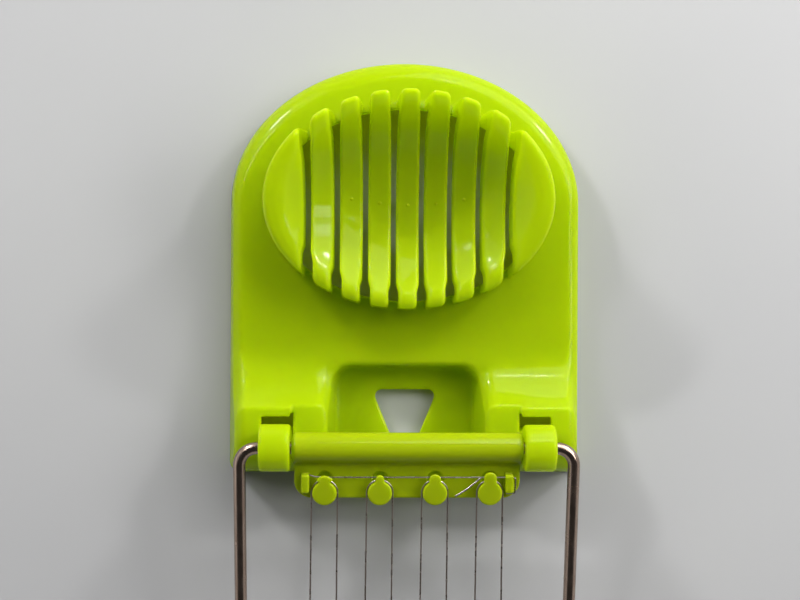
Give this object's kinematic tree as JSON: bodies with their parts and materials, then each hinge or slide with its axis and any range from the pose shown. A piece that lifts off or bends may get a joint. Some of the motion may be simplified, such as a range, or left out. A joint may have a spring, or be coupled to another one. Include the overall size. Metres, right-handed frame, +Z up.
{
  "type": "egg slicer",
  "caption": "Hand egg slicer: lime plastic base with a slotted oval egg cradle and a hinged steel bow strung with thin cutting wire, shown opened flat.",
  "frame": {"origin": "bottom centre of the whole part in its open pose, on the table", "axes": "+X to the right, +Y from the hinge towards the arched end of the base, +Z up"},
  "size_m": [0.084, 0.1968, 0.0333],
  "materials": {
    "lime_plastic": "gloss",
    "steel_rod": "polished",
    "cutting_wire": "bright"
  },
  "bodies": {
    "base": {"base_shell": "lime_plastic", "egg_cradle": "lime_plastic"},
    "cutting_frame": {"steel_bow": "steel_rod", "tension_bar": "lime_plastic", "handle_bar": "lime_plastic", "wire_run_1": "cutting_wire", "wire_run_2": "cutting_wire", "wire_run_3": "cutting_wire", "wire_run_4": "cutting_wire", "wire_run_5": "cutting_wire", "wire_run_6": "cutting_wire", "wire_run_7": "cutting_wire", "wire_run_8": "cutting_wire", "peg_loop_1": "cutting_wire", "peg_loop_2": "cutting_wire", "peg_loop_3": "cutting_wire", "peg_loop_4": "cutting_wire", "handle_loop_1": "cutting_wire", "handle_loop_2": "cutting_wire", "handle_loop_3": "cutting_wire", "wire_end_left": "cutting_wire", "wire_end_right": "cutting_wire", "tie_wire": "cutting_wire"}
  },
  "joints": [
    {"name": "frame_hinge", "type": "hinge", "parent": "base", "child": "cutting_frame", "pos_m": [0, 0.00811, 0.022], "axis": [-1, 0, 0], "range_deg": [0, 198.9]}
  ]
}
